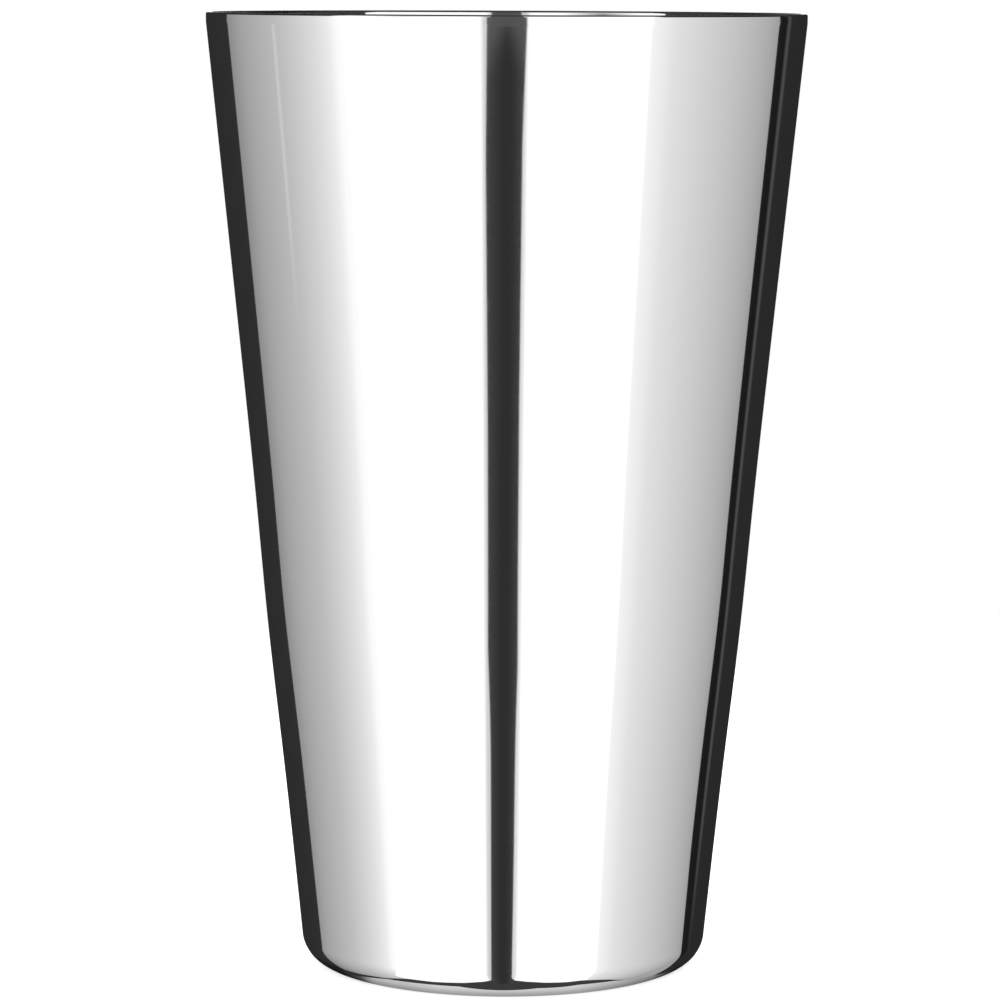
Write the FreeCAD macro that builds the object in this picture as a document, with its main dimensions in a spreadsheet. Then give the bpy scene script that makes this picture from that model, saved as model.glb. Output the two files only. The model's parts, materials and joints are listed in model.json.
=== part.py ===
import FreeCAD, Part
import os
import Sketcher

# A weighted steel mixing tin in three pieces, all turned about +Z, in millimetres.
# The origin is the centre of the underside. The cup stands on z = 0 and its mouth faces +Z.
#
#   cup_body     one deep-drawn tapered cup: straight lip, cone wall, necked foot, rounded floor
#   base_weight  a thick disc between the cup's floor and the cap
#   base_cap     a pressed pan with the outer corner, whose rim meets the cup's shoulder
#
# Each size is one cell of the sheet, and every sketch and fillet reads the sheet.

SIZES = [
    ("height", 141.0, "base to lip top"),
    ("mouth_radius", 44.0, "outside of the straight lip"),
    ("base_radius", 29.6, "outer cone carried on to z = 0"),
    ("sheet", 0.8, "wall and floor of the cup, measured level"),
    ("lip_height", 1.8, "straight lip above the cone"),
    ("lip_step", 0.05, "how far the lip stands proud of the cone"),
    ("lip_round", 0.4, "rounding of the lip's two top edges"),
    ("neck_land", 1.0, "neck above the floor's rounding, up to the shoulder"),
    ("shoulder_rise", 0.1, "start of the inner ledge above the shoulder"),
    ("ledge_round", 0.5, "rounding of the inner ledge"),
    ("floor_round", 5.0, "outer rounding of the cup's floor"),
    ("cap_sheet", 0.6, "wall and floor of the cap"),
    ("cap_clearance", 0.1, "gap between the cap and the necked foot"),
    ("corner_radius", 4.6, "outer corner of the cap"),
    ("foot_ring", 3.7, "ring inside the corner's rounding that the cup stands on"),
    ("panel_rise", 0.4, "height of the raised panel"),
    ("weight_thickness", 3.0, "thickness of the weight"),
    ("weight_margin", 1.5, "weight's rim inside the panel's edge"),
    ("weight_chamfer", 0.5, "chamfer of the weight's rims"),
]

# Heights and radii that follow from the sheet, as expressions
LIP_FOOT = "sizes.height - sizes.lip_height"
SLOPE = f"(sizes.mouth_radius - sizes.lip_step - sizes.base_radius) / ({LIP_FOOT} - sizes.lip_step)"
NECK = "(sizes.cap_sheet + sizes.cap_clearance)"
WEIGHT_SEAT = "(sizes.panel_rise + sizes.cap_sheet)"
FLOOR_UNDERSIDE = f"({WEIGHT_SEAT} + sizes.weight_thickness)"
FLOOR_TOP = f"({FLOOR_UNDERSIDE} + sizes.sheet)"
SEAM = f"({FLOOR_UNDERSIDE} + sizes.floor_round + sizes.neck_land)"
PANEL_RADIUS = "(sizes.base_radius - sizes.corner_radius - sizes.foot_ring)"
LEDGE_FOOT = f"({SEAM} + sizes.shoulder_rise)"
LEDGE_HEAD = f"({LEDGE_FOOT} + {NECK})"


def outer_cone(z):
    """Radius of the outer cone at a height, as an expression."""
    return f"(sizes.base_radius + ({z}) * {SLOPE})"


def fill_sheet(doc):
    sheet = doc.addObject("Spreadsheet::Sheet", "sizes")
    for row, (alias, value, note) in enumerate(SIZES, start=1):
        sheet.set(f"A{row}", alias)
        sheet.set(f"B{row}", str(value))
        sheet.set(f"C{row}", note)
        sheet.setAlias(f"B{row}", alias)
    doc.recompute()
    return sheet


def origin_plane(body, role):
    for feature in body.Origin.OriginFeatures:
        if feature.Role == role:
            return feature
    raise RuntimeError(f"{body.Label} has no {role}")


def pin_point(sketch, line, corner):
    """Hold a line's first point at its radius and height. A radius of None is on the axis."""
    radius, z = corner
    if radius is None:
        sketch.addConstraint(Sketcher.Constraint("PointOnObject", line, 1, -2))
    else:
        x = sketch.addConstraint(Sketcher.Constraint("DistanceX", -1, 1, line, 1, 1.0))
        sketch.setExpression(f"Constraints[{x}]", radius)
    if z == "0":
        sketch.addConstraint(Sketcher.Constraint("PointOnObject", line, 1, -1))
    else:
        y = sketch.addConstraint(Sketcher.Constraint("DistanceY", -1, 1, line, 1, 1.0))
        sketch.setExpression(f"Constraints[{y}]", z)


def read(doc, expression):
    """An expression's value now, so that a sketch starts near its solution."""
    return 0.0 if expression is None else float(doc.sizes.evalExpression(expression))


def turned(doc, name, corners):
    """A body turned a full circle about Z from its half section, a closed list of (radius, z)."""
    body = doc.addObject("PartDesign::Body", name)
    body.Label = name
    sketch = body.newObject("Sketcher::SketchObject", f"{name}_section")
    sketch.AttachmentSupport = [(origin_plane(body, "XZ_Plane"), "")]
    sketch.MapMode = "FlatFace"
    points = [FreeCAD.Vector(read(doc, radius), read(doc, z), 0) for radius, z in corners]
    for start, end in zip(points, points[1:] + points[:1]):
        sketch.addGeometry(Part.LineSegment(start, end), False)
    last = len(corners) - 1
    for line in range(last):
        sketch.addConstraint(Sketcher.Constraint("Coincident", line, 2, line + 1, 1))
    sketch.addConstraint(Sketcher.Constraint("Coincident", last, 2, 0, 1))
    for line, corner in enumerate(corners):
        pin_point(sketch, line, corner)
    turn = body.newObject("PartDesign::Revolution", f"{name}_turn")
    turn.Profile = sketch
    turn.ReferenceAxis = (sketch, ["V_Axis"])
    turn.Angle = 360.0
    doc.recompute()
    return body


def rim_edges(doc, feature, corners):
    """Names of the feature's circular edges that run through these (radius, z) corners."""
    names = []
    for radius, z in corners:
        wanted = (read(doc, radius), read(doc, z))
        for number, edge in enumerate(feature.Shape.Edges, start=1):
            box = edge.BoundBox
            found = (box.XMax, box.ZMax)
            flat = box.ZLength < 1e-6
            if flat and max(abs(a - b) for a, b in zip(found, wanted)) < 1e-4:
                names.append(f"Edge{number}")
    if len(names) != len(corners):
        raise RuntimeError(f"{feature.Name}: found {len(names)} of {len(corners)} edges")
    return names


def dress(doc, body, kind, name, corners, size, amount):
    """Round or chamfer the body's edges through these corners, by an expression."""
    before = body.Tip
    step = body.newObject(f"PartDesign::{kind}", name)
    step.Base = (before, rim_edges(doc, before, corners))
    step.setExpression(size, amount)
    doc.recompute()


def make_cup_body(doc):
    lip_top_outer = ("sizes.mouth_radius", "sizes.height")
    lip_inside = f"{outer_cone(LIP_FOOT + ' - sizes.lip_step')} - sizes.sheet"
    lip_top_inner = (lip_inside, "sizes.height")
    neck_corner = (f"{outer_cone(FLOOR_UNDERSIDE)} - {NECK}", FLOOR_UNDERSIDE)
    floor_corner = (f"{outer_cone(FLOOR_TOP)} - {NECK} - sizes.sheet", FLOOR_TOP)
    ledge_foot = (f"{outer_cone(LEDGE_FOOT)} - {NECK} - sizes.sheet", LEDGE_FOOT)
    ledge_head = (f"{outer_cone(LEDGE_HEAD)} - sizes.sheet", LEDGE_HEAD)
    section = [
        lip_top_outer,
        ("sizes.mouth_radius", LIP_FOOT),
        ("sizes.mouth_radius - sizes.lip_step", f"{LIP_FOOT} - sizes.lip_step"),
        (outer_cone(SEAM), SEAM),
        (f"{outer_cone(SEAM)} - {NECK}", SEAM),
        neck_corner,
        (None, FLOOR_UNDERSIDE),
        (None, FLOOR_TOP),
        floor_corner,
        ledge_foot,
        ledge_head,
        (lip_inside, f"{LIP_FOOT} - sizes.lip_step"),
        lip_top_inner,
    ]
    body = turned(doc, "cup_body", section)
    dress(doc, body, "Fillet", "floor_outer_round", [neck_corner], "Radius", "sizes.floor_round")
    dress(doc, body, "Fillet", "floor_inner_round", [floor_corner], "Radius",
          "sizes.floor_round - sizes.sheet")
    dress(doc, body, "Fillet", "ledge_rounding", [ledge_foot, ledge_head], "Radius", "sizes.ledge_round")
    dress(doc, body, "Fillet", "lip_rounding", [lip_top_outer, lip_top_inner], "Radius", "sizes.lip_round")
    return body


def make_base_weight(doc):
    rim = f"{PANEL_RADIUS} - sizes.weight_margin"
    foot = (rim, WEIGHT_SEAT)
    head = (rim, FLOOR_UNDERSIDE)
    body = turned(doc, "base_weight", [foot, head, (None, FLOOR_UNDERSIDE), (None, WEIGHT_SEAT)])
    dress(doc, body, "Chamfer", "weight_rims", [foot, head], "Size", "sizes.weight_chamfer")
    return body


def make_base_cap(doc):
    outer_corner = (outer_cone("0"), "0")
    inner_corner = (f"{outer_cone('sizes.cap_sheet')} - sizes.cap_sheet", "sizes.cap_sheet")
    panel_top = f"{PANEL_RADIUS} - sizes.panel_rise"
    section = [
        outer_corner,
        (outer_cone(SEAM), SEAM),
        (f"{outer_cone(SEAM)} - sizes.cap_sheet", SEAM),
        inner_corner,
        (PANEL_RADIUS, "sizes.cap_sheet"),
        (panel_top, WEIGHT_SEAT),
        (None, WEIGHT_SEAT),
        (None, "sizes.panel_rise"),
        (panel_top, "sizes.panel_rise"),
        (PANEL_RADIUS, "0"),
    ]
    body = turned(doc, "base_cap", section)
    dress(doc, body, "Fillet", "corner_outside", [outer_corner], "Radius", "sizes.corner_radius")
    dress(doc, body, "Fillet", "corner_inside", [inner_corner], "Radius",
          "sizes.corner_radius - sizes.cap_sheet")
    return body


def check(doc, bodies):
    for item in doc.Objects:
        if "Invalid" in item.State or "Error" in item.State:
            raise RuntimeError(f"{item.Name} failed: {item.State}")
    for body in bodies:
        if body.Shape.isNull() or not body.Shape.isValid():
            raise RuntimeError(f"{body.Label} has no valid shape")
        if len(body.Shape.Solids) != 1:
            raise RuntimeError(f"{body.Label} holds {len(body.Shape.Solids)} solids")


def main():
    doc = FreeCAD.newDocument("mixing_tin")
    fill_sheet(doc)
    bodies = [make_cup_body(doc), make_base_weight(doc), make_base_cap(doc)]
    doc.recompute()
    check(doc, bodies)
    os.makedirs("parts", exist_ok=True)
    for body in bodies:
        body.Shape.exportStep(f"parts/{body.Label}.step")
        print(f"{body.Label}: {body.Shape.Volume:.1f} mm3")


main()
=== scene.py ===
import json
import math

import bmesh
import bpy
from mathutils import Matrix, Vector


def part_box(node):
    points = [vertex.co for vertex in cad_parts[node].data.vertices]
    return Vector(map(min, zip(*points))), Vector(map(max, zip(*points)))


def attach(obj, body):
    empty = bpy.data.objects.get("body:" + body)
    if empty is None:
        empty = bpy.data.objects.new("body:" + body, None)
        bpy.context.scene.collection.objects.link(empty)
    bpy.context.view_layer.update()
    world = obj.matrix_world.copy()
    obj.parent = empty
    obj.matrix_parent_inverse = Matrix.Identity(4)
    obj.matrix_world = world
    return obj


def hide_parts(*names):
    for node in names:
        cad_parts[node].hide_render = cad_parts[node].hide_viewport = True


bl_info = {
    "name": "Weighted Mixing Tin",
    "version": (1, 0, 0),
    "blender": (4, 5, 0),
    "location": "View3D > Sidebar > Mixing Tin",
    "description": "Builds a mirror-polished mixing tin and the light tent it stands in",
    "category": "Object",
}

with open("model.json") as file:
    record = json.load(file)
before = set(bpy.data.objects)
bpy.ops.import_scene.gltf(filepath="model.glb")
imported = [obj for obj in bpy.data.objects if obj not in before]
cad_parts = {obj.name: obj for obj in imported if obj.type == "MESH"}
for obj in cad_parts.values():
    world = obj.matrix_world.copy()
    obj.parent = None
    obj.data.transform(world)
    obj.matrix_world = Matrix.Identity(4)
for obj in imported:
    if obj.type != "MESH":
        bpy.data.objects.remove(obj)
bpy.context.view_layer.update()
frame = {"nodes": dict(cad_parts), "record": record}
CUP_LOW, CUP_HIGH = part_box("cup_body")
CAP_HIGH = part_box("base_cap")[1]
WEIGHT_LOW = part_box("base_weight")[0]
MOUNTS = {mount["name"]: mount for mount in frame["record"]["mounts"]}
MM = 0.001
AXIS = Vector((0.0, 0.0, 1.0))
TURN_STEPS = 288
CARD_STEPS = 60


# Sizes of the tin, in the frame's metres

RIM_RADIUS = MOUNTS["rim"]["dims"]["r_mm"] * MM
MOUTH_RADIUS = MOUNTS["mouth"]["dims"]["r_mm"] * MM
HEIGHT = CUP_HIGH.z
SEAM_HEIGHT = CAP_HIGH.z
SEAM_RADIUS = CAP_HIGH.x
FLOOR_UNDERSIDE = CUP_LOW.z
PANEL_TOP = WEIGHT_LOW.z


def length(name, default, description):
    return bpy.props.FloatProperty(
        name=name, default=default, min=0.0, unit="LENGTH", subtype="DISTANCE", precision=5,
        description=description)


def share(name, default, description):
    return bpy.props.FloatProperty(
        name=name, default=default, min=0.0, soft_max=1.0, precision=4, description=description)


def angle(name, default, description):
    return bpy.props.FloatProperty(
        name=name, default=math.radians(default), subtype="ANGLE", description=description)


class TinShape(bpy.types.PropertyGroup):
    """Sizes of the drawn cup and its cap"""

    sheet: length("Sheet", 0.8 * MM, "Thickness of the cup's wall and floor, measured level")
    lip_round: length("Lip rounding", 0.3 * MM, "Rounding of the lip's outer top edge")
    lip_step: length("Lip step", 0.05 * MM, "How far the straight lip stands proud of the cone")
    lip_height: length("Lip height", 1.8 * MM, "Straight lip above the cone")
    blend_above: length("Blend above", 0.435 * MM, "How far the cone's blend runs up into the lip")
    blend_below: length("Blend below", 1.0 * MM, "How far the lip's blend runs down the cone")
    lip_sweep: length("Lip sweep", 4.0 * MM, "Rounding where the cone runs into the lip")
    mouth_round: length("Mouth rounding", 0.42 * MM, "Rounding of the lip's inner top edge")
    belly: length("Belly", 0.26 * MM, "How far the drawn wall swells outside a true cone")
    belly_height: length("Belly height", 50.0 * MM, "Height at which the wall swells most")
    belly_spread: length("Belly spread", 17.0 * MM, "How far the swelling reaches up and down")
    neck: length("Neck", 0.7 * MM, "Step from the cone in to the necked foot under the cap")
    ledge_rise: length("Ledge rise", 0.1 * MM, "Start of the inner ledge above the shoulder")
    ledge_round: length("Ledge rounding", 0.5 * MM, "Rounding of the inner ledge")
    floor_round: length("Floor rounding", 5.0 * MM, "Outer rounding of the cup's floor")
    cap_sheet: length("Cap sheet", 0.6 * MM, "Thickness of the cap")
    corner: length("Corner", 4.6 * MM, "Outer corner of the cap")
    panel_radius: length("Panel radius", 21.3 * MM, "Raised panel inside the foot ring")
    panel_rise: length("Panel rise", 0.4 * MM, "Height of the raised panel")
    panel_round: length("Panel rounding", 0.25 * MM, "Rounding of the panel's pressed edge")


class TinFinish(bpy.types.PropertyGroup):
    """Finish of the steel"""

    steel: bpy.props.FloatVectorProperty(
        name="Steel", subtype="COLOR", size=3, min=0.0, max=1.0, default=(0.90, 0.902, 0.905),
        description="Colour of the polished steel")
    polish: share("Polish", 0.045, "Roughness of the mirror outside")
    satin: share("Satin", 0.2, "Roughness of the spun inside")
    bright_depth: length("Bright mouth", 12.0 * MM, "How far down the inside is buffed bright")
    ripple: length("Ripple", 0.006 * MM, "Depth of the slow ripple in the drawn wall")
    ripple_size: length("Ripple size", 34.0 * MM, "Distance between slow ripples")
    buffing: length("Buffing", 0.00004 * MM, "Depth of the finest buffing lines")
    turning: length("Turning lines", 0.0006 * MM, "Depth of the spun lines inside and underneath")


class TinStudio(bpy.types.PropertyGroup):
    """The light tent, the floor and the camera"""

    tent_radius: length("Tent radius", 1.2, "Distance of the panels from the tin")
    tent_foot: length("Tent foot", -2.3, "Height of the tent's lower edge")
    side_head: length("Side head", 0.23, "Height of the side panels' upper edge")
    front_head: length("Front head", 0.95, "Height of the front panels' upper edge")
    back_head: length("Back head", 0.3, "Height of the bright back wall's upper edge")
    ceiling: length("Ceiling", 1.6, "Height of the tent's dark ceiling")
    # These table sizes shape a glowing card that paints the table's reflection in the steel, with painted
    # shadow near the tin's foot; its brightness is painted, not lit.
    painted_reflection_radius: length("Table radius", 29.55 * MM, "Bright table that the rounded corner mirrors")
    painted_reflection_front: length("Table front", 28.75 * MM, "Flat front edge of that table, from the axis")
    painted_reflection_side: length("Table side", 29.2 * MM, "Cut right of the table's front edge, from the axis")
    painted_reflection_side_turn: angle("Table side turn", 14.5, "Direction of that cut, from the front")
    floor_radius: length("Floor radius", 6.0, "Radius of the pale floor")
    shadow_reach: length("Shadow reach", 0.2, "How far from the tin the floor still shows a shadow")
    camera_distance: length("Camera distance", 0.6636, "From the tin's axis to the lens, level")
    camera_rise: length("Camera rise", 4.98 * MM, "Height of the lens above the lip")
    camera_aside: length("Camera aside", 0.71 * MM, "How far the lens stands left of the tin's middle")
    camera_pitch: angle("Camera pitch", 6.6035, "How far the lens looks down")
    camera_roll: angle("Camera roll", 0.229, "How far the lens is turned about its own line")
    camera_lens: bpy.props.FloatProperty(
        name="Lens", default=162.2, min=1.0, subtype="DISTANCE_CAMERA", unit="CAMERA",
        description="Focal length in millimetres on a 36 mm sensor")


# Turned shapes


def cone_slope(shape):
    """Growth of the outer cone's radius with height, from the seam to the lip's foot."""
    foot = HEIGHT - shape.lip_height - shape.lip_step
    return (RIM_RADIUS - shape.lip_step - SEAM_RADIUS) / (foot - SEAM_HEIGHT)


def outer_radius(shape, z):
    return SEAM_RADIUS + (z - SEAM_HEIGHT) * cone_slope(shape)


def swelling(shape, z):
    """How far the drawn wall stands outside the true cone at a height."""
    return shape.belly * math.exp(-(((z - shape.belly_height) / shape.belly_spread) ** 2))


def wire(mesh, corners):
    """A half section in the XZ plane through (radius, z, rounding) corners, with round corners as arcs."""
    verts = [mesh.verts.new((radius, 0.0, z)) for radius, z, _ in corners]
    for start, end in zip(verts, verts[1:]):
        mesh.edges.new((start, end))
    arms = {}
    for before, here, after in zip(verts, verts[1:], verts[2:]):
        arms[here] = (before.co - here.co).angle(after.co - here.co)
    for vert, (_, _, rounding) in zip(verts, corners):
        if rounding:
            turn = math.pi - arms[vert]
            bmesh.ops.bevel(
                mesh, geom=[vert], offset=rounding * math.tan(turn / 2), offset_type="OFFSET",
                segments=max(6, round(turn / math.radians(6))), profile=0.5,
                affect="VERTICES", material=-1)


def swell_wall(mesh, shape, pieces=64):
    """Divide the long wall lines and let them follow the slight swelling of the drawn wall."""
    long_lines = [edge for edge in mesh.edges if edge.calc_length() > HEIGHT / 2]
    bmesh.ops.subdivide_edges(mesh, edges=long_lines, cuts=pieces - 1)
    for vert in mesh.verts:
        if vert.co.z > SEAM_HEIGHT:
            vert.co.x += swelling(shape, vert.co.z)


def turned(name, corners, shape=None):
    """A piece turned a full circle about Z from its half section."""
    mesh = bmesh.new()
    wire(mesh, corners)
    if shape:
        swell_wall(mesh, shape)
    bmesh.ops.spin(
        mesh, geom=mesh.verts[:] + mesh.edges[:], cent=(0, 0, 0), axis=AXIS,
        angle=math.tau, steps=TURN_STEPS, use_merge=True)
    bmesh.ops.remove_doubles(mesh, verts=mesh.verts[:], dist=1e-6)
    bmesh.ops.recalc_face_normals(mesh, faces=mesh.faces[:])
    for face in mesh.faces:
        face.smooth = True
    sharp = math.radians(30)
    for edge in mesh.edges:
        if edge.is_manifold and edge.calc_face_angle() > sharp:
            edge.smooth = False
    data = bpy.data.meshes.new(name)
    mesh.to_mesh(data)
    mesh.free()
    piece = bpy.data.objects.new(name, data)
    bpy.context.scene.collection.objects.link(piece)
    flow = piece.modifiers.new("even_shading", "WEIGHTED_NORMAL")
    flow.keep_sharp = True
    return piece


def face_material(piece, index, chosen):
    """Give the faces that pass a test the material in a slot."""
    for face in piece.data.polygons:
        if chosen(face):
            face.material_index = index


# Material building blocks


class Nodes:
    """Short calls for building a material's nodes."""

    def __init__(self, name):
        self.material = bpy.data.materials.new(name)
        self.material.use_nodes = True
        self.tree = self.material.node_tree
        self.tree.nodes.clear()
        self.output = self.add("ShaderNodeOutputMaterial")

    def add(self, kind, **settings):
        node = self.tree.nodes.new(kind)
        for key, value in settings.items():
            setattr(node, key, value)
        return node

    def link(self, source, target):
        self.tree.links.new(source, target)

    def math(self, operation, *values):
        node = self.add("ShaderNodeMath", operation=operation)
        for socket, value in zip(node.inputs, values):
            if isinstance(value, bpy.types.NodeSocket):
                self.link(value, socket)
            else:
                socket.default_value = value
        return node.outputs[0]

    def coordinates(self, scale=(1, 1, 1), turn=0.0):
        place = self.add("ShaderNodeTexCoord")
        mapping = self.add("ShaderNodeMapping")
        mapping.inputs["Scale"].default_value = scale
        mapping.inputs["Rotation"].default_value = (0, 0, turn)
        self.link(place.outputs["Object"], mapping.inputs["Vector"])
        return mapping.outputs["Vector"]

    def noise(self, vector, scale, detail=2.0, roughness=0.5):
        node = self.add("ShaderNodeTexNoise")
        node.inputs["Scale"].default_value = scale
        node.inputs["Detail"].default_value = detail
        node.inputs["Roughness"].default_value = roughness
        self.link(vector, node.inputs["Vector"])
        return node.outputs["Fac"]

    def spread(self, value, low, high):
        """A 0 to 1 value moved to the range low to high."""
        node = self.add("ShaderNodeMapRange")
        node.inputs["To Min"].default_value = low
        node.inputs["To Max"].default_value = high
        self.link(value, node.inputs["Value"])
        return node.outputs["Result"]

    def bump(self, height, depth, below=None):
        node = self.add("ShaderNodeBump")
        node.inputs["Strength"].default_value = 1.0
        node.inputs["Distance"].default_value = depth
        self.link(height, node.inputs["Height"])
        if below:
            self.link(below, node.inputs["Normal"])
        return node.outputs["Normal"]


def turning_lines(nodes, spacing):
    """Fine rings about Z: they follow height on a wall and radius on a floor."""
    place = nodes.add("ShaderNodeTexCoord")
    parts = nodes.add("ShaderNodeSeparateXYZ")
    nodes.link(place.outputs["Object"], parts.inputs[0])
    squares = nodes.math("ADD", nodes.math("POWER", parts.outputs["X"], 2.0),
                         nodes.math("POWER", parts.outputs["Y"], 2.0))
    along = nodes.math("ADD", parts.outputs["Z"], nodes.math("SQRT", squares))
    rings = nodes.add("ShaderNodeTexNoise", noise_dimensions="1D")
    rings.inputs["Scale"].default_value = 1.0 / spacing
    rings.inputs["Detail"].default_value = 3.0
    nodes.link(along, rings.inputs["W"])
    return rings.outputs["Fac"]


def polished_steel(finish):
    """Mirror-polished steel: a slow ripple of the drawn sheet under fine buffing lines."""
    nodes = Nodes("polished_steel")
    shader = nodes.add("ShaderNodeBsdfPrincipled")
    shader.inputs["Metallic"].default_value = 1.0
    colour = nodes.add("ShaderNodeMix", data_type="RGBA")
    colour.inputs["A"].default_value = (*[part * 0.985 for part in finish.steel], 1.0)
    colour.inputs["B"].default_value = (*finish.steel, 1.0)
    nodes.link(nodes.noise(nodes.coordinates(), scale=45.0, detail=3.0), colour.inputs["Factor"])
    nodes.link(colour.outputs["Result"], shader.inputs["Base Color"])
    haze = nodes.noise(nodes.coordinates(scale=(60, 60, 900)), scale=1.0, detail=3.0, roughness=0.6)
    nodes.link(nodes.spread(haze, finish.polish * 0.6, finish.polish * 1.4), shader.inputs["Roughness"])
    ripple = nodes.noise(nodes.coordinates(), scale=1.0 / finish.ripple_size, detail=1.0)
    slow = nodes.bump(ripple, finish.ripple)
    lines = nodes.noise(nodes.coordinates(scale=(400, 400, 5000)), scale=1.0)
    nodes.link(nodes.bump(lines, finish.buffing, slow), shader.inputs["Normal"])
    nodes.link(shader.outputs[0], nodes.output.inputs["Surface"])
    return nodes.material


def bright_mouth(nodes, finish):
    """1 down in the cup, falling to the polished share just under the lip."""
    place = nodes.add("ShaderNodeTexCoord")
    parts = nodes.add("ShaderNodeSeparateXYZ")
    nodes.link(place.outputs["Object"], parts.inputs[0])
    share_left = nodes.add("ShaderNodeMapRange", interpolation_type="SMOOTHSTEP")
    share_left.inputs["From Min"].default_value = HEIGHT - finish.bright_depth
    share_left.inputs["From Max"].default_value = HEIGHT - finish.bright_depth / 4
    share_left.inputs["To Min"].default_value = 1.0
    share_left.inputs["To Max"].default_value = finish.polish / finish.satin
    nodes.link(parts.outputs["Z"], share_left.inputs["Value"])
    return share_left.outputs["Result"]


def spun_steel(name, finish, roughness, tone_share=1.0, bright_rim=False):
    """Satin steel with fine rings, as a spun surface has. A bright rim is buffed near the mouth."""
    ring_spacing = 0.35 * MM
    nodes = Nodes(name)
    shader = nodes.add("ShaderNodeBsdfPrincipled")
    shader.inputs["Metallic"].default_value = 1.0
    rings = turning_lines(nodes, ring_spacing)
    wide = nodes.noise(nodes.coordinates(), scale=40.0, detail=3.0)
    colour = nodes.add("ShaderNodeMix", data_type="RGBA")
    colour.inputs["A"].default_value = (*[part * tone_share * 0.93 for part in finish.steel], 1.0)
    colour.inputs["B"].default_value = (*[part * tone_share for part in finish.steel], 1.0)
    nodes.link(rings, colour.inputs["Factor"])
    nodes.link(colour.outputs["Result"], shader.inputs["Base Color"])
    haze = nodes.math("ADD", nodes.spread(rings, roughness * 0.75, roughness * 1.1),
                      nodes.spread(wide, 0.0, roughness * 0.2))
    if bright_rim:
        haze = nodes.math("MULTIPLY", haze, bright_mouth(nodes, finish))
    nodes.link(haze, shader.inputs["Roughness"])
    nodes.link(nodes.bump(rings, finish.turning), shader.inputs["Normal"])
    nodes.link(shader.outputs[0], nodes.output.inputs["Surface"])
    return nodes.material


# Stage building blocks


def tone(display):
    """Linear level that is shown as this share of white."""
    return ((display + 0.055) / 1.055) ** 2.4


def grey(display):
    """Colour that is shown as this share of white."""
    return (tone(display), tone(display), tone(display), 1.0)


def direction_level(nodes, stops):
    """Level by direction about Z. Stops are (degrees, level): 0 is towards -Y and 90 towards +X."""
    around = nodes.add("ShaderNodeTexGradient", gradient_type="RADIAL")
    nodes.link(nodes.coordinates(turn=math.radians(90)), around.inputs["Vector"])
    ramp = nodes.add("ShaderNodeValToRGB")
    elements = ramp.color_ramp.elements
    for number, (degrees, level) in enumerate(stops):
        place = (degrees + 180.0) / 360.0
        stop = elements[number] if number < 2 else elements.new(place)
        stop.position = place
        stop.color = (level, level, level, 1.0)
    nodes.link(around.outputs["Fac"], ramp.inputs["Fac"])
    return ramp.outputs["Color"]


def glowing(name, stops):
    """A card that glows by direction, from a list of (degrees, level)."""
    nodes = Nodes(name)
    glow = nodes.add("ShaderNodeEmission")
    nodes.link(direction_level(nodes, stops), glow.inputs["Color"])
    nodes.link(glow.outputs[0], nodes.output.inputs["Surface"])
    return nodes.material


def only_reflected(card):
    """A card is seen only in the steel: not by the camera, and it neither lights nor shades the floor."""
    card.visible_camera = False
    card.visible_diffuse = False
    card.visible_shadow = False
    card.visible_transmission = False
    card.visible_volume_scatter = False


def swept(name, rows, material):
    """A card about Z through rows of (start, end, radius, z), each between two directions of its own."""
    mesh = bmesh.new()
    bmesh.ops.create_grid(mesh, x_segments=CARD_STEPS, y_segments=len(rows) - 1, size=0.5)
    for vert in mesh.verts:
        start, end, radius, z = rows[round((vert.co.y + 0.5) * (len(rows) - 1))]
        turn = math.radians(start + (end - start) * (vert.co.x + 0.5) - 90)
        vert.co = (radius * math.cos(turn), radius * math.sin(turn), z)
    data = bpy.data.meshes.new(name)
    mesh.to_mesh(data)
    mesh.free()
    card = bpy.data.objects.new(name, data)
    bpy.context.scene.collection.objects.link(card)
    card.data.materials.append(material)
    only_reflected(card)
    return card


def upright(name, radius, rows, material):
    """An upright card at one distance from the axis, through rows of (start, end, z)."""
    swept(name, [(start, end, radius, z) for start, end, z in rows], material)


# Operators


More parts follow.
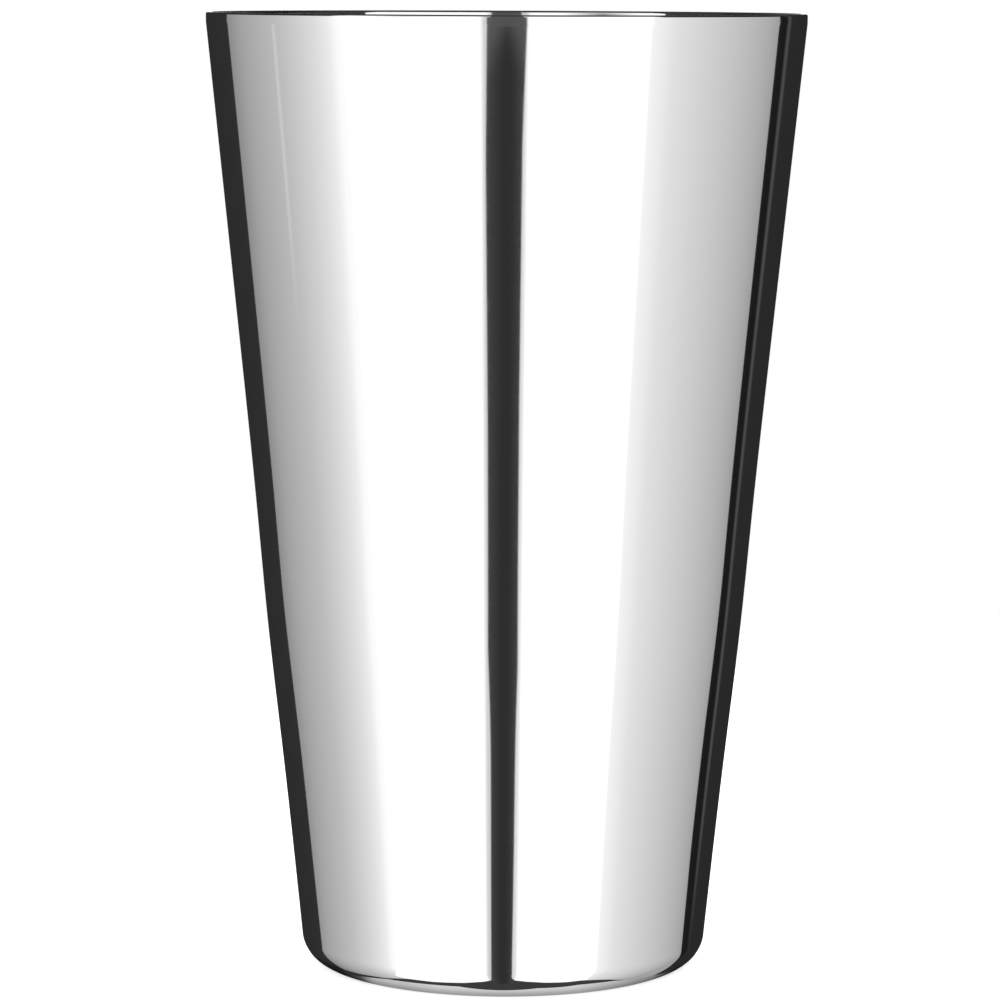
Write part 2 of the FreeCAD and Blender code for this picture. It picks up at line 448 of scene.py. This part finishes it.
class MIXING_TIN_OT_cup(bpy.types.Operator):
    """Turn the drawn cup: cone wall, straight lip, necked foot and rounded floor"""

    bl_idname = "mixing_tin.cup"
    bl_label = "Cup Body"

    def execute(self, context):
        shape = context.scene.tin_shape
        finish = context.scene.tin_finish
        lip_foot = HEIGHT - shape.lip_height
        cone_head = lip_foot - shape.lip_step
        floor_top = FLOOR_UNDERSIDE + shape.sheet
        ledge_foot = SEAM_HEIGHT + shape.ledge_rise
        ledge_head = ledge_foot + shape.neck
        inner_neck = shape.neck + shape.sheet
        blend_foot = lip_foot - shape.blend_below
        flare = (HEIGHT - cone_head) * cone_slope(shape)
        piece = turned("cup_body_shell", [
            (0.0, FLOOR_UNDERSIDE, 0.0),
            (outer_radius(shape, FLOOR_UNDERSIDE) - shape.neck, FLOOR_UNDERSIDE, shape.floor_round),
            (SEAM_RADIUS - shape.neck, SEAM_HEIGHT, 0.0),
            (SEAM_RADIUS, SEAM_HEIGHT, 0.0),
            (outer_radius(shape, blend_foot), blend_foot, shape.lip_sweep),
            (RIM_RADIUS, lip_foot + shape.blend_above, shape.lip_sweep),
            (RIM_RADIUS, HEIGHT, shape.lip_round),
            (MOUTH_RADIUS + flare, HEIGHT, shape.mouth_round),
            (outer_radius(shape, ledge_head) - shape.sheet, ledge_head, shape.ledge_round),
            (outer_radius(shape, ledge_foot) - inner_neck, ledge_foot, shape.ledge_round),
            (outer_radius(shape, floor_top) - inner_neck, floor_top, shape.floor_round - shape.sheet),
            (0.0, floor_top, 0.0),
        ], shape)
        piece.data.materials.append(polished_steel(finish))
        piece.data.materials.append(spun_steel("satin_inside", finish, finish.satin, bright_rim=True))
        face_material(piece, 1, lambda face: self.is_inside(face, shape))
        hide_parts("cup_body")
        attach(piece, "root")
        return {"FINISHED"}

    def is_inside(self, face, shape):
        """Inside faces look towards the axis, and the floor looks up."""
        outward = Vector((face.center.x, face.center.y, 0.0))
        if outward.length < 1e-6 or outward.normalized().dot(face.normal) > -0.01:
            return face.center.z < HEIGHT / 2 and face.normal.z > 0.5
        return face.center.z < HEIGHT - shape.lip_round


class MIXING_TIN_OT_cap(bpy.types.Operator):
    """Turn the cap that closes the weight in: outer corner, foot ring and raised panel"""

    bl_idname = "mixing_tin.cap"
    bl_label = "Base Cap"

    def execute(self, context):
        shape = context.scene.tin_shape
        finish = context.scene.tin_finish
        panel_top = shape.panel_radius - shape.panel_rise
        piece = turned("base_cap_shell", [
            (0.0, shape.panel_rise, 0.0),
            (panel_top, shape.panel_rise, shape.panel_round),
            (shape.panel_radius, 0.0, shape.panel_round),
            (outer_radius(shape, 0.0), 0.0, shape.corner),
            (SEAM_RADIUS, SEAM_HEIGHT, 0.0),
            (SEAM_RADIUS - shape.cap_sheet, SEAM_HEIGHT, 0.0),
            (outer_radius(shape, shape.cap_sheet) - shape.cap_sheet, shape.cap_sheet,
             shape.corner - shape.cap_sheet),
            (shape.panel_radius, shape.cap_sheet, shape.panel_round),
            (panel_top, PANEL_TOP, shape.panel_round),
            (0.0, PANEL_TOP, 0.0),
        ])
        piece.data.materials.append(polished_steel(finish))
        piece.data.materials.append(spun_steel("turned_panel", finish, finish.satin))
        face_material(piece, 1, lambda face: self.is_turned(face, shape))
        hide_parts("base_cap")
        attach(piece, "root")
        return {"FINISHED"}

    def is_turned(self, face, shape):
        """The raised panel underneath and the hidden inside keep their turned finish."""
        radius = math.hypot(face.center.x, face.center.y)
        underneath = face.normal.z < -0.99 and radius < shape.panel_radius - shape.panel_rise
        outward = Vector((face.center.x, face.center.y, 0.0)).normalized()
        return underneath or face.normal.z > 0.5 or outward.dot(face.normal) < -0.01


class MIXING_TIN_OT_weight(bpy.types.Operator):
    """Give the hidden weight its cut-steel finish"""

    bl_idname = "mixing_tin.weight"
    bl_label = "Base Weight"

    def execute(self, context):
        finish = context.scene.tin_finish
        weight = frame["nodes"]["base_weight"]
        weight.data.materials.clear()
        weight.data.materials.append(spun_steel("cut_steel", finish, roughness=0.38, tone_share=0.62))
        return {"FINISHED"}


class MIXING_TIN_OT_studio(bpy.types.Operator):
    """Set up the pale floor, the lamps, the camera and the light tent that the steel mirrors"""

    bl_idname = "mixing_tin.studio"
    bl_label = "Studio"

    def execute(self, context):
        studio = context.scene.tin_studio
        self.world(context)
        self.floor(studio)
        self.tent(studio)
        self.lamps()
        self.camera(studio)
        context.scene.view_settings.view_transform = "Standard"
        return {"FINISHED"}

    def world(self, context):
        """A grey room that lights the floor, and white where the camera or the steel sees past the tent."""
        world = bpy.data.worlds.new("studio_world")
        context.scene.world = world
        world.use_nodes = True
        tree = world.node_tree
        tree.nodes.clear()
        output = tree.nodes.new("ShaderNodeOutputWorld")
        path = tree.nodes.new("ShaderNodeLightPath")
        room = tree.nodes.new("ShaderNodeBackground")
        room.inputs["Color"].default_value = grey(0.5)
        white = tree.nodes.new("ShaderNodeBackground")
        white.inputs["Color"].default_value = (1.0, 1.0, 1.0, 1.0)
        mix = tree.nodes.new("ShaderNodeMixShader")
        seen = path.outputs["Is Camera Ray"]
        for kind in ("Is Glossy Ray", "Is Transmission Ray"):
            either = tree.nodes.new("ShaderNodeMath")
            either.operation = "MAXIMUM"
            tree.links.new(seen, either.inputs[0])
            tree.links.new(path.outputs[kind], either.inputs[1])
            seen = either.outputs[0]
        tree.links.new(seen, mix.inputs["Fac"])
        tree.links.new(room.outputs[0], mix.inputs[1])
        tree.links.new(white.outputs[0], mix.inputs[2])
        tree.links.new(mix.outputs[0], output.inputs["Surface"])

    def floor(self, studio):
        """A pale floor with the tin's faint shadow near it, and plain white farther out."""
        paint_level = 0.82
        glow_level = 0.74
        mesh = bmesh.new()
        bmesh.ops.create_circle(mesh, cap_ends=True, radius=studio.floor_radius, segments=96)
        data = bpy.data.meshes.new("floor")
        mesh.to_mesh(data)
        mesh.free()
        floor = bpy.data.objects.new("floor", data)
        bpy.context.scene.collection.objects.link(floor)
        nodes = Nodes("pale_floor")
        paint = nodes.add("ShaderNodeBsdfDiffuse")
        paint.inputs["Color"].default_value = (paint_level, paint_level, paint_level, 1.0)
        glow = nodes.add("ShaderNodeEmission")
        glow.inputs["Color"].default_value = (glow_level, glow_level, glow_level, 1.0)
        path = nodes.add("ShaderNodeLightPath")
        nodes.link(path.outputs["Is Camera Ray"], glow.inputs["Strength"])
        both = nodes.add("ShaderNodeAddShader")
        nodes.link(paint.outputs[0], both.inputs[0])
        nodes.link(glow.outputs[0], both.inputs[1])
        white = nodes.add("ShaderNodeEmission")
        nodes.link(path.outputs["Is Camera Ray"], white.inputs["Strength"])
        away = nodes.add("ShaderNodeVectorMath", operation="LENGTH")
        nodes.link(nodes.coordinates(), away.inputs[0])
        reach = nodes.add("ShaderNodeMapRange", interpolation_type="SMOOTHSTEP")
        reach.inputs["From Min"].default_value = studio.shadow_reach
        reach.inputs["From Max"].default_value = studio.shadow_reach * 2.0
        nodes.link(away.outputs["Value"], reach.inputs["Value"])
        mix = nodes.add("ShaderNodeMixShader")
        nodes.link(reach.outputs["Result"], mix.inputs["Fac"])
        nodes.link(both.outputs[0], mix.inputs[1])
        nodes.link(white.outputs[0], mix.inputs[2])
        nodes.link(mix.outputs[0], nodes.output.inputs["Surface"])
        floor.data.materials.append(nodes.material)
        floor.visible_glossy = False

    def tent(self, studio):
        """Panels about the tin, by direction: 0 is towards the camera and 180 behind the tin."""
        radius = studio.tent_radius
        before = radius * 0.98
        behind = radius * 1.01
        wall = radius * 1.02
        room = radius * 1.03
        foot = studio.tent_foot
        head = studio.front_head
        side = studio.side_head
        top = studio.ceiling
        dark = tone(0.17)
        bright = 1.2
        left_front = glowing("left_front", [
            (-180.0, bright), (-9.9, bright), (-9.5, tone(0.89)), (-7.6, tone(0.85))])
        right_front = glowing("right_front", [
            (6.4, tone(0.9)), (7.8, tone(0.95)), (8.3, bright), (180.0, bright)])
        left_side = glowing("left_side", [
            (-131.5, tone(0.57)), (-120.0, tone(0.665)), (-96.0, tone(0.773)), (-84.0, tone(0.852)),
            (-76.0, tone(0.912)), (-70.0, tone(0.972)), (-68.0, tone(1.01)), (-66.0, tone(1.04))])
        right_side = glowing("right_side", [
            (55.6, tone(1.01)), (58.0, tone(0.988)), (62.0, tone(0.963)), (66.0, tone(0.925)),
            (80.0, tone(0.865)), (110.0, tone(0.742)), (118.0, tone(0.7)), (124.0, tone(0.652)),
            (135.0, tone(0.66))])
        flag = glowing("black_flags", [
            (-172.0, dark), (-131.0, tone(0.19)), (125.0, tone(0.11)), (132.0, tone(0.11)),
            (134.0, tone(0.17)), (172.0, tone(0.16))])
        back = glowing("back_wall", [(-180.0, 1.1), (180.0, 1.1)])
        shade = glowing("shade", [(-180.0, tone(0.24)), (180.0, tone(0.24))])
        upright("left_front_panel", radius, [
            (-47.0, -53.0, -2.15), (-33.0, -63.0, -2.08), (-22.0, -72.0, -1.8),
            (-14.0, -80.0, -1.61), (-8.4, -82.0, -1.3), (-7.2, -73.0, -0.97),
            (-6.8, -64.0, -0.55), (-6.7, -64.0, -0.46), (-7.8, -64.0, -0.37),
            (-7.6, -64.0, -0.28), (-8.0, -64.0, -0.17), (-7.2, -64.0, -0.1),
            (-7.4, -64.0, side), (-6.3, -68.5, side), (-6.3, -68.5, head),
        ], left_front)
        upright("right_front_panel", radius, [
            (42.0, 48.0, -1.98), (33.0, 56.0, -1.91), (26.0, 61.0, -1.74),
            (17.0, 67.0, -1.57), (8.2, 62.0, -1.27), (5.9, 59.0, -0.97),
            (5.1, 56.5, -0.7), (5.2, 55.6, -0.52), (6.5, 55.6, -0.39),
            (6.0, 55.6, -0.27), (6.2, 55.6, -0.16), (7.5, 55.6, -0.11),
            (7.3, 55.6, side), (6.3, 60.3, side), (6.3, 60.3, head),
        ], right_front)
        upright("left_side_panel", behind, [
            (-97.0, -62.0, -1.66), (-110.0, -62.0, -1.58), (-121.0, -62.0, -1.36),
            (-131.0, -62.0, -1.18), (-139.0, -62.0, -0.94), (-134.0, -62.0, -0.67),
            (-127.8, -62.0, -0.37), (-131.5, -62.0, -0.19), (-131.5, -62.0, side),
        ], left_side)
        upright("right_side_panel", behind, [
            (54.0, 100.0, -1.68), (54.0, 131.0, -1.47), (54.0, 146.0, -1.0),
            (54.0, 133.7, -0.72), (54.0, 124.6, -0.37), (54.0, 123.4, -0.33),
            (54.0, 125.2, -0.2), (54.0, 125.2, side),
        ], right_side)
        upright("front_gap_card", behind, [(-8.0, 8.0, foot), (-8.0, 8.0, head)], self.gap_glow())
        upright("left_flag", wall, [(-172.0, -100.0, foot), (-172.0, -100.0, top)], flag)
        upright("right_flag", wall, [(100.0, 172.0, foot), (100.0, 172.0, top)], flag)
        upright("back_wall_card", wall, [(172.0, 188.0, foot), (172.0, 188.0, studio.back_head)], back)
        swept("dark_room", [
            (0.0, 360.0, 0.0, foot), (0.0, 360.0, room, foot),
            (0.0, 360.0, room, top), (0.0, 360.0, 0.0, top),
        ], shade)
        self.streak(
            "left_streak", before, middle=-98.0, width=2.4, low=-0.16, high=0.0, fade=0.08, display=0.87)
        self.streak(
            "right_streak", before, middle=134.6, width=5.0, low=-0.36, high=top, fade=0.09, display=0.34)
        self.streak(
            "lip_streak", before, middle=-40.0, width=34.0, low=0.27, high=0.6, fade=0.06, display=0.6)
        self.paint_table_reflection(studio)

    def streak(self, name, radius, middle, width, low, high, fade, display):
        """A faint upright streak in front of the panels, soft at its sides and its lower end."""
        first = middle - width / 2
        last = middle + width / 2
        nodes = Nodes(name)
        across = direction_level(nodes, [(first, 0.0), (middle, 1.0), (last, 0.0)])
        place = nodes.add("ShaderNodeTexCoord")
        parts = nodes.add("ShaderNodeSeparateXYZ")
        nodes.link(place.outputs["Object"], parts.inputs[0])
        rise = nodes.add("ShaderNodeMapRange", interpolation_type="SMOOTHSTEP")
        rise.inputs["From Min"].default_value = low
        rise.inputs["From Max"].default_value = low + fade
        nodes.link(parts.outputs["Z"], rise.inputs["Value"])
        clear = nodes.add("ShaderNodeBsdfTransparent")
        glow = nodes.add("ShaderNodeEmission")
        glow.inputs["Color"].default_value = grey(display)
        mix = nodes.add("ShaderNodeMixShader")
        nodes.link(nodes.math("MULTIPLY", across, rise.outputs["Result"]), mix.inputs["Fac"])
        nodes.link(clear.outputs[0], mix.inputs[1])
        nodes.link(glow.outputs[0], mix.inputs[2])
        nodes.link(mix.outputs[0], nodes.output.inputs["Surface"])
        upright(name, radius, [(first, last, low), (first, last, high)], nodes.material)

    def gap_glow(self):
        """The gap between the front panels: dark, and lighter high up and towards its edges."""
        dark_below = -0.127
        light_above = -0.104
        edge_lift = 0.1
        nodes = Nodes("front_gap")
        low = direction_level(nodes, [
            (-8.0, tone(0.27)), (-5.0, tone(0.235)), (-1.5, tone(0.19)), (2.0, tone(0.19)),
            (4.5, tone(0.235)), (7.0, tone(0.27))])
        high = direction_level(nodes, [
            (-8.0, tone(0.37)), (-4.0, tone(0.35)), (0.0, tone(0.33)), (4.0, tone(0.35)),
            (7.0, tone(0.34))])
        place = nodes.add("ShaderNodeTexCoord")
        parts = nodes.add("ShaderNodeSeparateXYZ")
        nodes.link(place.outputs["Object"], parts.inputs[0])
        aside = nodes.math("MULTIPLY", nodes.math("ABSOLUTE", parts.outputs["X"]), edge_lift)
        rise = nodes.add("ShaderNodeMapRange", interpolation_type="SMOOTHSTEP")
        rise.inputs["From Min"].default_value = dark_below
        rise.inputs["From Max"].default_value = light_above
        nodes.link(nodes.math("ADD", parts.outputs["Z"], aside), rise.inputs["Value"])
        mix = nodes.add("ShaderNodeMix", data_type="RGBA")
        nodes.link(rise.outputs["Result"], mix.inputs["Factor"])
        nodes.link(low, mix.inputs["A"])
        nodes.link(high, mix.inputs["B"])
        glow = nodes.add("ShaderNodeEmission")
        nodes.link(mix.outputs["Result"], glow.inputs["Color"])
        nodes.link(glow.outputs[0], nodes.output.inputs["Surface"])
        return nodes.material

    def paint_table_reflection(self, studio):
        """The table under the tin, as its rounded corner mirrors it, painted on a glowing card seen only in
        the steel: bright in front with a painted shadow darkening towards the tin's foot, and painted shade
        making it dark behind.
        """
        # Painted contact shadow: the card is darkest from here inwards, near the tin's foot, and brightens
        # out to its rim.
        painted_shadow_from = 26.5 * MM
        nodes = Nodes("painted_table_light_and_shade")
        away = nodes.add("ShaderNodeVectorMath", operation="LENGTH")
        nodes.link(nodes.coordinates(), away.inputs[0])
        place = nodes.add("ShaderNodeMapRange")
        place.inputs["From Min"].default_value = painted_shadow_from
        place.inputs["From Max"].default_value = studio.painted_reflection_radius
        nodes.link(away.outputs["Value"], place.inputs["Value"])
        ramp = nodes.add("ShaderNodeValToRGB")
        elements = ramp.color_ramp.elements
        stops = [(0.0, 0.62), (0.25, 0.66), (0.4, 0.71), (0.55, 0.77), (0.7, 0.83), (1.0, 0.88)]
        for number, (spot, display) in enumerate(stops):
            stop = elements[number] if number < 2 else elements.new(spot)
            stop.position = spot
            stop.color = grey(display)
        nodes.link(place.outputs["Result"], ramp.inputs["Fac"])
        # Painted shade: the reflected table fades to dark towards the sides and behind the tin.
        painted_side_shade = direction_level(nodes, [
            (-60.0, 0.02), (-54.0, 0.06), (-49.0, 0.14), (-46.0, 0.5), (-43.0, 0.75), (-30.0, 0.85),
            (-20.0, 1.0), (22.0, 1.0), (34.0, 0.78), (44.0, 0.58), (53.0, 0.42), (58.0, 0.2),
            (65.0, 0.03)])
        both = nodes.add("ShaderNodeMix", data_type="RGBA", blend_type="MULTIPLY")
        both.inputs["Factor"].default_value = 1.0
        nodes.link(ramp.outputs["Color"], both.inputs["A"])
        nodes.link(painted_side_shade, both.inputs["B"])
        glow = nodes.add("ShaderNodeEmission")
        nodes.link(both.outputs["Result"], glow.inputs["Color"])
        nodes.link(glow.outputs[0], nodes.output.inputs["Surface"])
        under = -0.05 * MM
        card = swept("painted_table_reflection", [
            (-58.0, 64.0, 0.0, under), (-58.0, 64.0, 28.4 * MM, under), (-48.0, 52.0, 28.8 * MM, under),
            (-43.0, 42.0, 29.15 * MM, under), (-38.0, 36.0, studio.painted_reflection_radius, under),
        ], nodes.material)
        # A dark disc round the rest of the circle: painted shade under and behind the tin, seen only in the
        # steel.
        swept("painted_table_shade", [
            (64.0, 302.0, 0.0, under), (64.0, 302.0, studio.painted_reflection_radius, under),
        ], nodes.material)
        # The card's front is cut flat and its front-right side cut straight, where the painted lit table
        # ends.
        mesh = bmesh.new()
        mesh.from_mesh(card.data)
        for turn, edge in ((0.0, studio.painted_reflection_front), (studio.painted_reflection_side_turn, studio.painted_reflection_side)):
            outward = Vector((math.sin(turn), -math.cos(turn), 0.0))
            bmesh.ops.bisect_plane(
                mesh, geom=mesh.verts[:] + mesh.edges[:] + mesh.faces[:],
                plane_co=outward * edge, plane_no=outward, clear_outer=True)
        mesh.to_mesh(card.data)
        mesh.free()

    def lamps(self):
        """Three soft lamps that light the floor and stay out of the steel's mirror images."""
        for name, place, width, power in (
            ("top_light", (0.0, 0.0, 1.6), 1.6, 27.0),
            ("left_light", (-1.1, -0.9, 0.9), 0.9, 7.0),
            ("right_light", (1.1, -0.9, 0.9), 0.9, 7.0),
        ):
            light = bpy.data.lights.new(name, "AREA")
            light.size = width
            light.energy = power
            lamp = bpy.data.objects.new(name, light)
            bpy.context.scene.collection.objects.link(lamp)
            lamp.location = place
            lamp.rotation_euler = (-Vector(place)).to_track_quat("-Z", "Y").to_euler()
            lamp.visible_glossy = False
            lamp.visible_camera = False

    def camera(self, studio):
        """Just above the lip, looking a little down."""
        data = bpy.data.cameras.new("camera")
        data.sensor_width = 36.0
        data.lens = studio.camera_lens
        data.clip_start = 0.01
        camera = bpy.data.objects.new("camera", data)
        bpy.context.scene.collection.objects.link(camera)
        place = Vector((-studio.camera_aside, -studio.camera_distance, HEIGHT + studio.camera_rise))
        look = Matrix.Rotation(math.pi / 2 - studio.camera_pitch, 4, "X")
        roll = Matrix.Rotation(studio.camera_roll, 4, "Z")
        camera.matrix_world = Matrix.Translation(place) @ look @ roll
        bpy.context.scene.camera = camera


class MIXING_TIN_PT_sidebar(bpy.types.Panel):
    """Sizes, finish and stage of the tin"""

    bl_idname = "MIXING_TIN_PT_sidebar"
    bl_label = "Mixing Tin"
    bl_space_type = "VIEW_3D"
    bl_region_type = "UI"
    bl_category = "Mixing Tin"

    def draw(self, context):
        for title, group, operators in (
            ("Tin", context.scene.tin_shape, PIECES),
            ("Finish", context.scene.tin_finish, ()),
            ("Stage", context.scene.tin_studio, STAGE),
        ):
            box = self.layout.box()
            box.label(text=title)
            for name in group.__annotations__:
                box.prop(group, name)
            for operator in operators:
                box.operator(operator.bl_idname)


PIECES = (MIXING_TIN_OT_cup, MIXING_TIN_OT_cap, MIXING_TIN_OT_weight)
STAGE = (MIXING_TIN_OT_studio,)
GROUPS = {"tin_shape": TinShape, "tin_finish": TinFinish, "tin_studio": TinStudio}
CLASSES = (*GROUPS.values(), *PIECES, *STAGE, MIXING_TIN_PT_sidebar)


def register():
    for item in CLASSES:
        bpy.utils.register_class(item)
    for name, group in GROUPS.items():
        setattr(bpy.types.Scene, name, bpy.props.PointerProperty(type=group))


def unregister():
    for name in GROUPS:
        delattr(bpy.types.Scene, name)
    for item in reversed(CLASSES):
        bpy.utils.unregister_class(item)


def main():
    register()
    bpy.ops.mixing_tin.cup()
    bpy.ops.mixing_tin.cap()
    bpy.ops.mixing_tin.weight()
    bpy.ops.mixing_tin.studio()


if __name__ == "__main__":
    main()
